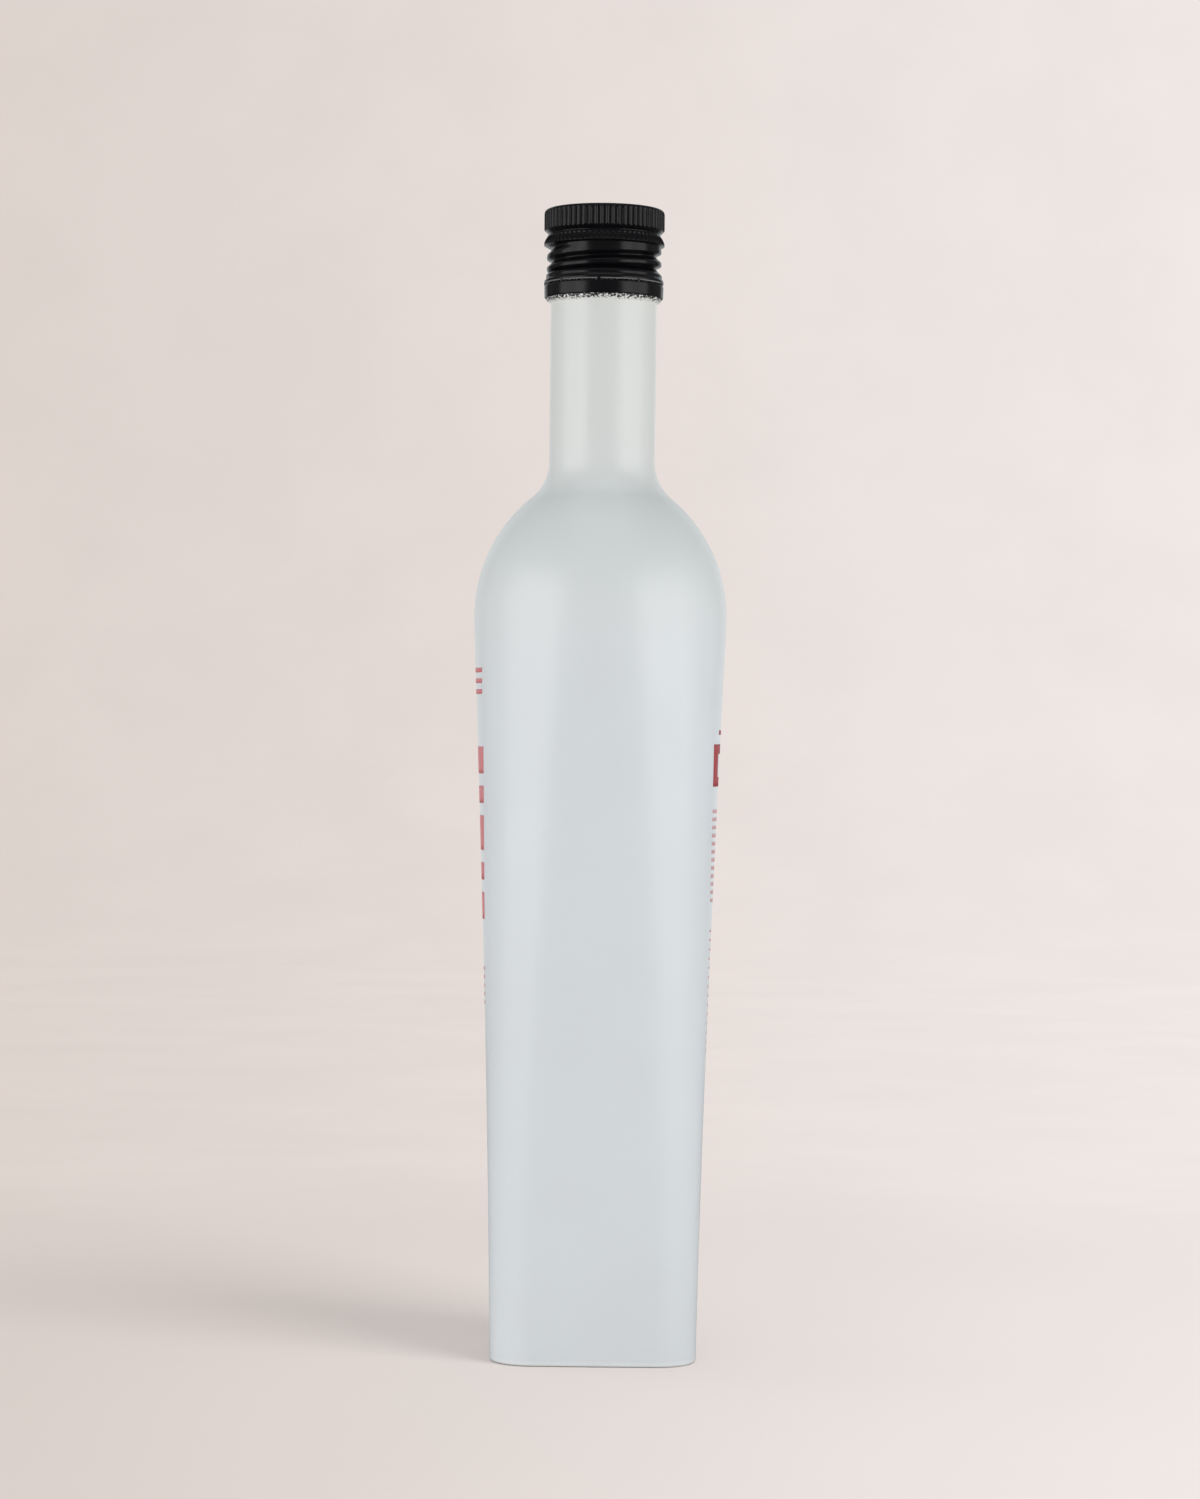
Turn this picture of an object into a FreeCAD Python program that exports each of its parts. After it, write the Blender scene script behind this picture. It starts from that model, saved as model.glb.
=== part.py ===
"""Oil bottle: a frosted glass bottle, round at the shoulder and square at the foot, under a
roll-on aluminium screw cap with a tamper band.

Frame: millimetres, +Z up, origin at the middle of the foot.  The plain panels face -Y and +Y,
the printed ones -X and +X.
"""
import FreeCAD, Part
import os
import Sketcher

doc = FreeCAD.newDocument("OilBottle")

# ---------------------------------------------------------------------------------------------
# Sizes: name, value, what it measures
# ---------------------------------------------------------------------------------------------

SIZES = (
    ("foot_width", 53.4, "across the flat panels at the foot"),
    ("foot_corner", 11.0, "corner radius at the foot"),
    ("waist_width", 57.6, "across the panels where the straight taper ends"),
    ("waist_corner", 18.2, "corner radius there"),
    ("waist_height", 88.0, "foot to the end of the straight taper"),
    ("flare_width", 63.1, "across the panels at the top of the flare"),
    ("flare_corner", 27.6, "corner radius there"),
    ("flare_height", 155.0, "foot to the top of the flare"),
    ("body_diameter", 66.4, "over the widest round of the shoulder"),
    ("shoulder_height", 193.0, "foot to the widest round"),
    ("shoulder_radius", 40.5, "round of the shoulder in side view"),
    ("lead_angle", 2.4, "degrees: slope of the wall where the shoulder's arc begins"),
    ("panel_end_width", 4.0, "width of each flat panel where it runs out into the shoulder"),
    ("heel_radius", 2.0, "rounding of the lower edge"),
    ("pushup_diameter", 38.0, "rim of the dish in the foot"),
    ("pushup_depth", 1.8, "depth of the dish"),
    ("neck_blend_radius", 12.0, "hollow arc between shoulder and neck"),
    ("neck_diameter", 27.8, "over the neck"),
    ("neck_length", 41.73, "straight part of the neck"),
    ("bead_slope", 0.7, "height of the slope from the neck to the glass bead"),
    ("bead_drop", 0.7, "how far the glass bead shows under the cap"),
    ("bead_lock_height", 2.2, "lower edge of the cap up to the top of the glass bead"),
    ("lip_chamfer", 0.8, "chamfer round the lip"),
    ("cap_diameter", 31.4, "over the knurled band of the cap"),
    ("wall", 0.3, "sheet of the cap"),
    ("liner", 1.3, "sealing disc that is fixed under the crown"),
    ("crown_corner", 0.9, "rounding of the crown's edge"),
    ("knurl_band_height", 4.9, "crown to the lower end of the knurled band"),
    ("knurl_start", 1.0, "crown to the upper end of the knurls"),
    ("knurl_depth", 0.28, "how deep a knurl is pressed"),
    ("knurl_width", 0.9, "width of a knurl on the surface"),
    ("knurl_margin", 0.15, "plain strip beside the ends of knurls and notches"),
    ("knurl_count", 68, "knurls round the cap"),
    ("hollow_depth", 1.05, "bottom of the hollow under the knurled band"),
    ("hollow_height", 2.9, "height of the hollow"),
    ("vent_rise", 0.15, "notched bead over the knurled band"),
    ("vent_height", 1.4, "height of the notched bead"),
    ("vent_step", 0.5, "height of the slope from the notched bead to the threaded part"),
    ("thread_recess", 0.9, "threaded part under the knurled band"),
    ("thread_part_height", 7.5, "height of the threaded part"),
    ("thread_depth", 0.65, "how deep the thread is rolled"),
    ("thread_width", 1.8, "width of the rolled thread on the surface"),
    ("thread_pitch", 3.2, "rise of the thread in one turn"),
    ("thread_margin", 0.15, "plain strip under and over the rolled thread"),
    ("flank_height", 1.0, "height of the slope from the threaded part to the lower bead"),
    ("bead_rise", 0.1, "lower bead over the knurled band"),
    ("bead_height", 1.3, "height of the lower bead"),
    ("band_recess", 0.15, "tamper band under the knurled band"),
    ("band_height", 3.7, "height of the tamper band"),
    ("band_edge", 0.25, "rounding of the tamper band's lower edge"),
    ("slit_height", 0.45, "slits between the lower bead and the tamper band"),
    ("bridge_count", 9, "bridges that hold the tamper band"),
    ("bridge_width", 1.2, "width of a bridge"),
    ("thread_clearance", 0.25, "glass finish to the inside of the cap"),
    ("band_clearance", 0.15, "glass bead to the inside of the tamper band"),
)

sizes = doc.addObject("Spreadsheet::Sheet", "Sizes")
for row, (name, number, note) in enumerate(SIZES, start=1):
    sizes.set(f"A{row}", name)
    sizes.set(f"B{row}", str(number))
    sizes.setAlias(f"B{row}", name)
    sizes.set(f"C{row}", note)
doc.recompute()


def now(formula):
    """Number that a formula of the sizes gives now: where sketch geometry is first put."""
    return float(sizes.evalExpression(formula))


# ---------------------------------------------------------------------------------------------
# Heights and radii that follow from the sizes, as formulas for the sheet
# ---------------------------------------------------------------------------------------------

BODY_RADIUS = "(Sizes.body_diameter / 2)"
NECK_RADIUS = "(Sizes.neck_diameter / 2)"
LEAD = "(Sizes.lead_angle * 1deg)"

# the shoulder's arc starts just under the widest round, where the wall still leans outwards
JOIN_HEIGHT = f"(Sizes.shoulder_height - Sizes.shoulder_radius * sin({LEAD}))"
JOIN_RADIUS = f"({BODY_RADIUS} - Sizes.shoulder_radius * (1 - cos({LEAD})))"

# the hollow arc touches the shoulder's arc on the line between their centres
CENTRE_GAP = f"({NECK_RADIUS} + Sizes.neck_blend_radius - {BODY_RADIUS} + Sizes.shoulder_radius)"
CENTRE_RISE = f"sqrt((Sizes.shoulder_radius + Sizes.neck_blend_radius) ^ 2 - {CENTRE_GAP} ^ 2)"
ARC_SHARE = "(Sizes.shoulder_radius / (Sizes.shoulder_radius + Sizes.neck_blend_radius))"
TOUCH_RADIUS = f"({BODY_RADIUS} - Sizes.shoulder_radius + {CENTRE_GAP} * {ARC_SHARE})"
TOUCH_HEIGHT = f"(Sizes.shoulder_height + {CENTRE_RISE} * {ARC_SHARE})"

# up the neck and the cap
NECK_BOTTOM = f"(Sizes.shoulder_height + {CENTRE_RISE})"
NECK_TOP = f"({NECK_BOTTOM} + Sizes.neck_length)"
GLASS_BEAD_BOTTOM = f"({NECK_TOP} + Sizes.bead_slope)"
BAND_BOTTOM = f"({GLASS_BEAD_BOTTOM} + Sizes.bead_drop)"
BEAD_BOTTOM = f"({BAND_BOTTOM} + Sizes.band_height)"
BEAD_TOP = f"({BEAD_BOTTOM} + Sizes.bead_height)"
THREAD_BOTTOM = f"({BEAD_TOP} + Sizes.flank_height)"
THREAD_TOP = f"({THREAD_BOTTOM} + Sizes.thread_part_height)"
VENT_BOTTOM = f"({THREAD_TOP} + Sizes.vent_step)"
VENT_TOP = f"({VENT_BOTTOM} + Sizes.vent_height)"
KNURL_BOTTOM = f"({VENT_TOP} + Sizes.hollow_height)"
CROWN = f"({KNURL_BOTTOM} + Sizes.knurl_band_height)"
LIP = f"({CROWN} - Sizes.wall - Sizes.liner)"

# outside of the cap
KNURL_RADIUS = "(Sizes.cap_diameter / 2)"
VENT_RADIUS = f"({KNURL_RADIUS} + Sizes.vent_rise)"
THREAD_RADIUS = f"({KNURL_RADIUS} - Sizes.thread_recess)"
BEAD_RADIUS = f"({KNURL_RADIUS} + Sizes.bead_rise)"
BAND_RADIUS = f"({KNURL_RADIUS} - Sizes.band_recess)"

# inside of the cap, one wall behind the deepest relief of each part
KNURL_BORE = f"({KNURL_RADIUS} - Sizes.knurl_depth - Sizes.wall)"
HOLLOW_BORE = f"({KNURL_RADIUS} - Sizes.hollow_depth - Sizes.wall)"
VENT_BORE = f"({VENT_RADIUS} - Sizes.knurl_depth - Sizes.wall)"
THREAD_BORE = f"({THREAD_RADIUS} - Sizes.thread_depth - Sizes.wall)"
BAND_BORE = f"({BAND_RADIUS} - Sizes.wall)"

# glass inside the cap
FINISH_RADIUS = f"({THREAD_BORE} - Sizes.thread_clearance)"
GLASS_BEAD_RADIUS = f"({BAND_BORE} - Sizes.band_clearance)"


# ---------------------------------------------------------------------------------------------
# Sketch helpers
# ---------------------------------------------------------------------------------------------

START, END, CENTRE = 1, 2, 3
ORIGIN = (-1, 1)
UPRIGHT_AXIS = -2


def origin_feature(body, role):
    """The origin plane or axis of a body that has this role."""
    return next(feature for feature in body.Origin.OriginFeatures if feature.Role == role)


def new_sketch(body, name, role, lift="0"):
    """Sketch on an origin plane of the body, lifted along the plane's normal by a formula."""
    sketch = body.newObject("Sketcher::SketchObject", name)
    sketch.AttachmentSupport = [(origin_feature(body, role), "")]
    sketch.MapMode = "FlatFace"
    sketch.setExpression("AttachmentOffset.Base.z", lift)
    return sketch


def bind(sketch, kind, *where, formula):
    """Add a dimension to the sketch and drive it by a formula."""
    index = sketch.addConstraint(Sketcher.Constraint(kind, *where, now(formula)))
    sketch.setExpression(f"Constraints[{index}]", formula)


def arc_between(start, end, radius, side):
    """Arc from start to end with its centre on the left or right of the way between them."""
    chord = end - start
    sideways = FreeCAD.Vector(-chord.y, chord.x, 0).normalize()
    if side == "right":
        sideways = sideways.negative()
    apart = max(radius ** 2 - (chord.Length / 2) ** 2, 0.0) ** 0.5
    centre = (start + end) / 2 + sideways * apart
    middle = centre - sideways * radius
    return Part.Arc(start, middle, end) if side == "left" else Part.Arc(end, middle, start)


def draw_outline(sketch, corners):
    """Closed outline through corners, each a pair of formulas for its coordinates.

    A corner may also hold (radius formula, side): then the edge that leaves it is an arc with
    its centre on that side of the way.
    """
    spots = [FreeCAD.Vector(now(corner[0]), now(corner[1]), 0) for corner in corners]
    edges = []
    for corner, start, end in zip(corners, spots, spots[1:] + spots[:1]):
        if len(corner) == 2:
            edges.append((sketch.addGeometry(Part.LineSegment(start, end)), START, END))
            continue
        radius, side = corner[2]
        edge = sketch.addGeometry(arc_between(start, end, now(radius), side))
        edges.append((edge, START, END) if side == "left" else (edge, END, START))
        bind(sketch, "Radius", edge, formula=radius)
    for (edge, _, last), (following, first, _) in zip(edges, edges[1:] + edges[:1]):
        sketch.addConstraint(Sketcher.Constraint("Coincident", edge, last, following, first))
    for corner, (edge, first, _) in zip(corners, edges):
        if corner[0] == "0":
            sketch.addConstraint(Sketcher.Constraint("PointOnObject", edge, first, UPRIGHT_AXIS))
        else:
            bind(sketch, "DistanceX", *ORIGIN, edge, first, formula=corner[0])
        bind(sketch, "DistanceY", *ORIGIN, edge, first, formula=corner[1])


def add_feature(body, kind, name, **settings):
    """PartDesign feature with these properties set; the body then ends at it."""
    feature = body.newObject(f"PartDesign::{kind}", name)
    for key, setting in settings.items():
        setattr(feature, key, setting)
    body.Tip = feature
    return feature


def revolve(body, kind, name, sketch):
    """Full turn of a sketch about the upright axis."""
    return add_feature(body, kind, name, Profile=sketch, ReferenceAxis=(sketch, ["V_Axis"]), Angle=360)


def round_edges(body, name, formula, chosen):
    """Fillet on the edges of the body for which chosen(edge) is true."""
    doc.recompute()
    base = body.Tip
    names = [f"Edge{i}" for i, edge in enumerate(base.Shape.Edges, start=1) if chosen(edge)]
    fillet = add_feature(body, "Fillet", name, Base=(base, names), Radius=now(formula))
    fillet.setExpression("Radius", formula)


def repeat_round(body, name, feature, count):
    """Polar pattern of a feature, a full turn about the upright axis."""
    pattern = add_feature(body, "PolarPattern", name, Originals=[feature], Angle=360)
    pattern.Axis = (origin_feature(body, "Z_Axis"), [""])
    pattern.setExpression("Occurrences", count)


# ---------------------------------------------------------------------------------------------
# Bottle: glass and oil as one solid
# ---------------------------------------------------------------------------------------------

def draw_panel_section(sketch, width, radius):
    """Square across flats with round corners."""
    half = f"({width} / 2)"
    flat = f"({half} - {radius})"
    corner = (radius, "left")
    draw_outline(sketch, (
        (flat, f"-{half}", corner), (half, f"-{flat}"),
        (half, flat, corner), (flat, half),
        (f"-{flat}", half, corner), (f"-{half}", flat),
        (f"-{half}", f"-{flat}", corner), (f"-{flat}", f"-{half}"),
    ))


def draw_round_section(sketch):
    """Circle in the same eight edges, so that each panel and corner runs into an arc of it."""
    flat = "(Sizes.panel_end_width / 2)"
    half = f"sqrt({JOIN_RADIUS} ^ 2 - {flat} ^ 2)"
    arc = (JOIN_RADIUS, "left")
    draw_outline(sketch, (
        (flat, f"-{half}", arc), (half, f"-{flat}", arc),
        (half, flat, arc), (flat, half, arc),
        (f"-{flat}", half, arc), (f"-{half}", flat, arc),
        (f"-{half}", f"-{flat}", arc), (f"-{flat}", f"-{half}", arc),
    ))


def add_panelled_body(body):
    """Loft from the square foot through waist and flare to the round under the shoulder."""
    sections = []
    for part, height in (("foot", "0"), ("waist", "Sizes.waist_height"), ("flare", "Sizes.flare_height")):
        section = new_sketch(body, part.capitalize() + "Section", "XY_Plane", height)
        draw_panel_section(section, f"Sizes.{part}_width", f"Sizes.{part}_corner")
        sections.append(section)
    top = new_sketch(body, "RoundSection", "XY_Plane", JOIN_HEIGHT)
    draw_round_section(top)
    sections.append(top)
    add_feature(body, "AdditiveLoft", "PanelledBody", Profile=sections[0], Sections=sections[1:])


def add_shoulder_neck_and_finish(body):
    """Turned part: shoulder arc, hollow arc, neck, glass bead and the plain finish to the lip."""
    bead_top = f"({BAND_BOTTOM} + Sizes.bead_lock_height)"
    sketch = new_sketch(body, "TurnedProfile", "XZ_Plane")
    draw_outline(sketch, (
        ("0", JOIN_HEIGHT),
        (JOIN_RADIUS, JOIN_HEIGHT, ("Sizes.shoulder_radius", "left")),
        (TOUCH_RADIUS, TOUCH_HEIGHT, ("Sizes.neck_blend_radius", "right")),
        (NECK_RADIUS, NECK_BOTTOM),
        (NECK_RADIUS, NECK_TOP),
        (GLASS_BEAD_RADIUS, GLASS_BEAD_BOTTOM),
        (GLASS_BEAD_RADIUS, bead_top),
        (FINISH_RADIUS, f"({bead_top} + {GLASS_BEAD_RADIUS} - {FINISH_RADIUS})"),
        (FINISH_RADIUS, f"({LIP} - Sizes.lip_chamfer)"),
        (f"({FINISH_RADIUS} - Sizes.lip_chamfer)", LIP),
        ("0", LIP),
    ))
    revolve(body, "Revolution", "ShoulderNeckAndFinish", sketch)


def cut_dished_foot(body):
    """Shallow spherical dish, so that the bottle stands on a ring of glass."""
    rim = "(Sizes.pushup_diameter / 2)"
    dish_radius = f"(({rim} ^ 2 + Sizes.pushup_depth ^ 2) / (2 * Sizes.pushup_depth))"
    sketch = new_sketch(body, "DishProfile", "XZ_Plane")
    draw_outline(sketch, (("0", "0"), (rim, "0", (dish_radius, "left")), ("0", "Sizes.pushup_depth")))
    revolve(body, "Groove", "DishedFoot", sketch)


def make_bottle():
    """Frosted glass bottle."""
    body = doc.addObject("PartDesign::Body", "Bottle")
    body.Label = "bottle"
    add_panelled_body(body)
    add_shoulder_neck_and_finish(body)
    round_edges(body, "Heel", "Sizes.heel_radius", lambda edge: edge.BoundBox.ZMax < 0.001)
    cut_dished_foot(body)
    return body


# ---------------------------------------------------------------------------------------------
# Cap: roll-on aluminium shell with its sealing disc
# ---------------------------------------------------------------------------------------------

def turn_shell(body):
    """Drawn shell: inside from the sealing disc down, then outside back up to the crown.

    The hollow is an arc over hollow_height, hollow_depth deep below the knurled band.
    """
    depth = "Sizes.hollow_depth"
    hollow_radius = f"(((Sizes.hollow_height / 2) ^ 2 + {depth} ^ 2) / (2 * {depth}))"
    sketch = new_sketch(body, "ShellProfile", "XZ_Plane")
    draw_outline(sketch, (
        ("0", CROWN),
        ("0", LIP),
        (KNURL_BORE, LIP),
        (KNURL_BORE, f"({KNURL_BOTTOM} + Sizes.wall)"),
        (HOLLOW_BORE, KNURL_BOTTOM),
        (HOLLOW_BORE, VENT_TOP),
        (VENT_BORE, f"({VENT_TOP} - Sizes.wall)"),
        (VENT_BORE, f"({VENT_BOTTOM} + Sizes.wall)"),
        (THREAD_BORE, f"({THREAD_TOP} + Sizes.wall)"),
        (THREAD_BORE, f"({THREAD_BOTTOM} - Sizes.wall)"),
        (BAND_BORE, f"({BEAD_TOP} - Sizes.wall)"),
        (BAND_BORE, BAND_BOTTOM),
        (BAND_RADIUS, BAND_BOTTOM),
        (BAND_RADIUS, BEAD_BOTTOM),
        (BEAD_RADIUS, BEAD_BOTTOM),
        (BEAD_RADIUS, BEAD_TOP),
        (THREAD_RADIUS, THREAD_BOTTOM),
        (THREAD_RADIUS, THREAD_TOP),
        (VENT_RADIUS, VENT_BOTTOM),
        (VENT_RADIUS, VENT_TOP),
        (KNURL_RADIUS, VENT_TOP, (hollow_radius, "right")),
        (KNURL_RADIUS, KNURL_BOTTOM),
        (KNURL_RADIUS, CROWN),
    ))
    revolve(body, "Revolution", "Shell", sketch)
    crown = now(CROWN)
    round_edges(body, "CrownCorner", "Sizes.crown_corner", lambda edge: edge.BoundBox.ZMin > crown - 0.001)
    edge_height = now(BAND_BOTTOM)
    radius = now(BAND_RADIUS)
    round_edges(body, "BandEdge", "Sizes.band_edge", lambda edge: (
        edge.BoundBox.ZMax < edge_height + 0.001 and abs(edge.BoundBox.XMax - radius) < 0.001))


def press_knurls(body, name, radius, top, height):
    """Ring of upright V grooves, cut downwards from a height.

    Each V is knurl_width wide on the surface and twice that at as far again outside it.
    """
    sketch = new_sketch(body, name + "Section", "XY_Plane", top)
    draw_outline(sketch, (
        (f"({radius} - Sizes.knurl_depth)", "0"),
        (f"({radius} + Sizes.knurl_depth)", "-Sizes.knurl_width"),
        (f"({radius} + Sizes.knurl_depth)", "Sizes.knurl_width"),
    ))
    groove = add_feature(body, "Pocket", name, Profile=sketch, Length=now(height))
    groove.setExpression("Length", height)
    doc.recompute()
    repeat_round(body, name + "Ring", groove, "Sizes.knurl_count")


def roll_thread(body):
    """Helical groove of round section, rolled into the threaded part from -X upwards.

    The feature counts its hand from the other end of the axis, so that LeftHanded gives the
    usual right-handed thread.
    """
    half = "(Sizes.thread_width / 2)"
    groove_radius = f"(({half} ^ 2 + Sizes.thread_depth ^ 2) / (2 * Sizes.thread_depth))"
    centre = f"({THREAD_RADIUS} - Sizes.thread_depth + {groove_radius})"
    start_height = f"({THREAD_BOTTOM} + {half} + Sizes.thread_margin)"
    rise = f"(Sizes.thread_part_height - Sizes.thread_width - 2 * Sizes.thread_margin)"
    sketch = new_sketch(body, "ThreadSection", "XZ_Plane")
    half_turn = FreeCAD.Rotation(FreeCAD.Vector(0, 1, 0), 180)
    sketch.AttachmentOffset = FreeCAD.Placement(FreeCAD.Vector(), half_turn)
    middle = FreeCAD.Vector(now(centre), now(start_height), 0)
    circle = sketch.addGeometry(Part.Circle(middle, FreeCAD.Vector(0, 0, 1), now(groove_radius)))
    bind(sketch, "Radius", circle, formula=groove_radius)
    bind(sketch, "DistanceX", *ORIGIN, circle, CENTRE, formula=centre)
    bind(sketch, "DistanceY", *ORIGIN, circle, CENTRE, formula=start_height)
    thread = add_feature(body, "SubtractiveHelix", "RolledThread", Profile=sketch)
    thread.ReferenceAxis = (sketch, ["V_Axis"])
    thread.Mode = "pitch-turns-angle"
    thread.LeftHanded = True
    thread.setExpression("Pitch", "Sizes.thread_pitch")
    thread.setExpression("Turns", f"{rise} / Sizes.thread_pitch")


def cut_tamper_slits(body):
    """Slits through the sheet over the tamper band, with a bridge between each two."""
    inner = f"({BAND_BORE} - Sizes.wall)"
    outer = f"({BEAD_RADIUS} + Sizes.wall)"
    low = f"({BEAD_BOTTOM} - Sizes.slit_height / 2)"
    high = f"({BEAD_BOTTOM} + Sizes.slit_height / 2)"
    sketch = new_sketch(body, "SlitSection", "XZ_Plane")
    draw_outline(sketch, ((inner, low), (outer, low), (outer, high), (inner, high)))
    slit = add_feature(body, "Groove", "TamperSlit", Profile=sketch, Midplane=True)
    slit.ReferenceAxis = (sketch, ["V_Axis"])
    slit.setExpression("Angle", f"360deg / Sizes.bridge_count - Sizes.bridge_width / {BAND_RADIUS} * 1rad")
    doc.recompute()
    repeat_round(body, "TamperSlits", slit, "Sizes.bridge_count")


def make_cap():
    """Black roll-on screw cap."""
    body = doc.addObject("PartDesign::Body", "Cap")
    body.Label = "cap"
    turn_shell(body)
    press_knurls(body, "Knurl", KNURL_RADIUS, f"({CROWN} - Sizes.knurl_start)",
                 "(Sizes.knurl_band_height - Sizes.knurl_start - Sizes.knurl_margin)")
    press_knurls(body, "Notch", VENT_RADIUS, f"({VENT_TOP} - Sizes.knurl_margin)",
                 "(Sizes.vent_height - 2 * Sizes.knurl_margin)")
    roll_thread(body)
    cut_tamper_slits(body)
    return body


# ---------------------------------------------------------------------------------------------
# Build, check and write one file for each sub-part
# ---------------------------------------------------------------------------------------------

def check_features():
    """Stop if any object of the document failed."""
    for item in doc.Objects:
        if "Invalid" in item.State or "Error" in item.State:
            raise RuntimeError(f"{item.Name} failed: {item.State}")


def check_volumes(body):
    """Stop if a feature left the volume as it was, as a cut that points away would."""
    last_volume = 0.0
    for feature in body.Group:
        if not feature.isDerivedFrom("PartDesign::Feature"):
            continue
        if abs(feature.Shape.Volume - last_volume) < 0.001:
            raise RuntimeError(f"{feature.Name} changed nothing")
        last_volume = feature.Shape.Volume


def write_part(body):
    """Check the solid of a body and write it as a STEP file named by its label."""
    shape = body.Shape
    if shape.isNull() or not shape.isValid() or len(shape.Solids) != 1:
        raise RuntimeError(f"{body.Label} is not one valid solid")
    shape.exportStep(f"parts/{body.Label}.step")
    print(f"{body.Label}: {shape.Volume / 1000:.2f} cm3, {len(shape.Faces)} faces")


bodies = (make_bottle(), make_cap())
doc.recompute()
check_features()
os.makedirs("parts", exist_ok=True)
for finished in bodies:
    check_volumes(finished)
    write_part(finished)
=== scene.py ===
"""Oil bottle: the looks of its frosted bottle, red side prints and black roll-on screw cap.

Metres, +Z up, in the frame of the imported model.  Sizes of the object are in millimetres until a
mesh is made; the studio and the camera are in metres.
"""
import math
import bpy
import numpy as np
from mathutils import Matrix, Vector


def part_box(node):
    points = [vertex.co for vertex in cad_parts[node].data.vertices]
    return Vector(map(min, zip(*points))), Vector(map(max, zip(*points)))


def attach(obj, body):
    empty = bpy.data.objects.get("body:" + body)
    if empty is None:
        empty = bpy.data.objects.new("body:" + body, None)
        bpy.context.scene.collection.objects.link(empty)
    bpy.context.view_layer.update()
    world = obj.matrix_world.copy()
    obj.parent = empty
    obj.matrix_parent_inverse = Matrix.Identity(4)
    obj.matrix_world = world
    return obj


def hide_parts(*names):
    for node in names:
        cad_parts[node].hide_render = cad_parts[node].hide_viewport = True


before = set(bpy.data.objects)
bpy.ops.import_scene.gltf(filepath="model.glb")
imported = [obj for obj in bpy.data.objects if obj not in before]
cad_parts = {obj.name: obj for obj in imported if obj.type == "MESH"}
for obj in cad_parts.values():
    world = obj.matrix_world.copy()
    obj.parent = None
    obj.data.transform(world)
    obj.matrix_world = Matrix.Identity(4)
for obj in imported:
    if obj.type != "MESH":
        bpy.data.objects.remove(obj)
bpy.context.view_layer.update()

# ---------------------------------------------------------------------------------------------
# Bottle.  Blown glass with a satin frost all over, full of oil that doesn't show through it.
# One skin: dished foot, square heel, tapered panels, round shoulder, neck, bead and lip.
# ---------------------------------------------------------------------------------------------

MM = 0.001
bottle_high = np.array(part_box("bottle")[1]) / MM
cap_low, cap_high = (np.array(corner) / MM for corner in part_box("cap"))

SHOULDER_RADIUS = bottle_high[0]
LIP_HEIGHT = bottle_high[2]
CAP_EDGE = cap_low[2]
CROWN_HEIGHT = cap_high[2]
CAP_RADIUS = cap_high[0]

SHOULDER_HEIGHT = 193.0
SHOULDER_ARC = 40.5
SHOULDER_LEAD = math.radians(2.4)
NECK_BLEND = 12.0
NECK_RADIUS = 13.9
HEEL_ROUND = 1.0
DISH_RADIUS = 19.0
DISH_DEPTH = 1.8
GLASS_BEAD_RADIUS = CAP_RADIUS - 0.75
GLASS_BEAD_BOTTOM = CAP_EDGE - 0.7
GLASS_BEAD_TOP = CAP_EDGE + 2.2
FINISH_RADIUS = 13.2
LIP_CHAMFER = 0.8
STATION_HEIGHTS = (0.0, 70.0, 140.0, 191.3)
STATION_HALF_WIDTHS = (26.7, 28.35, 30.87, 33.17)
COLUMNS_ROUND_BOTTLE = 320
POLE_RING = 0.5


def body_half_width(height):
    """Half width across the panels: the cubic through its four stations."""
    return np.polyval(np.polyfit(STATION_HEIGHTS, STATION_HALF_WIDTHS, 3), height)


def panel_section_radius(direction, half_width, inset):
    """Distance from the axis to a square section with round corners, along each direction.

    The corners all reach the shoulder's circle, so their radius is (half width * sqrt 2 - circle)
    / (sqrt 2 - 1).  Inset shrinks the section evenly.  A direction meets the flat where its
    tangent is under half the flat's share of the half width, and else the corner's arc.
    """
    corner = (half_width * math.sqrt(2) - SHOULDER_RADIUS) / (math.sqrt(2) - 1)
    centre = half_width - corner
    turned = (direction + math.pi / 4) % (math.pi / 2) - math.pi / 4
    along, across = np.cos(turned), np.abs(np.sin(turned))
    on_flat = (half_width - inset) / along
    inside = np.maximum((corner - inset) ** 2 - (centre * (along - across)) ** 2, 0)
    on_corner = centre * (along + across) + np.sqrt(inside)
    return np.where(on_flat * across <= centre, on_flat, on_corner)


def arc_of_profile(centre_radius, centre_height, radius, start, end, steps):
    """Points of an arc in the upright half plane, from one angle to another."""
    angle = np.radians(np.linspace(start, end, steps))
    return centre_radius + radius * np.cos(angle), centre_height + radius * np.sin(angle)


def rounded_profile(corners, spacing):
    """Profile through (radius, height, rounding) corners, its straight runs cut to the spacing.

    Each corner with a rounding becomes the arc that touches both runs that far from the corner,
    as a curve of second degree whose middle point is the corner.
    """
    points = np.array([corner[:2] for corner in corners], float)
    rounding = np.array([corner[2] for corner in corners], float)
    step = np.diff(points, axis=0)
    step /= np.linalg.norm(step, axis=1)[:, None]
    share = np.linspace(0, 1, 6)[:, None]
    pieces = []
    for i, point in enumerate(points):
        if rounding[i] and 0 < i < len(points) - 1:
            before, after = point - step[i - 1] * rounding[i], point + step[i] * rounding[i]
            curve = (1 - share) ** 2 * before + 2 * share * (1 - share) * point + share ** 2 * after
            pieces.append(curve)
        else:
            pieces.append(point[None])
    dense = [pieces[0]]
    for last, following in zip(pieces, pieces[1:]):
        run = following[0] - last[-1]
        cuts = max(int(np.ceil(np.linalg.norm(run) / spacing)), 1)
        dense.append(last[-1] + run * np.linspace(0, 1, cuts + 1)[1:-1, None])
        dense.append(following)
    return np.concatenate(dense).T


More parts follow.
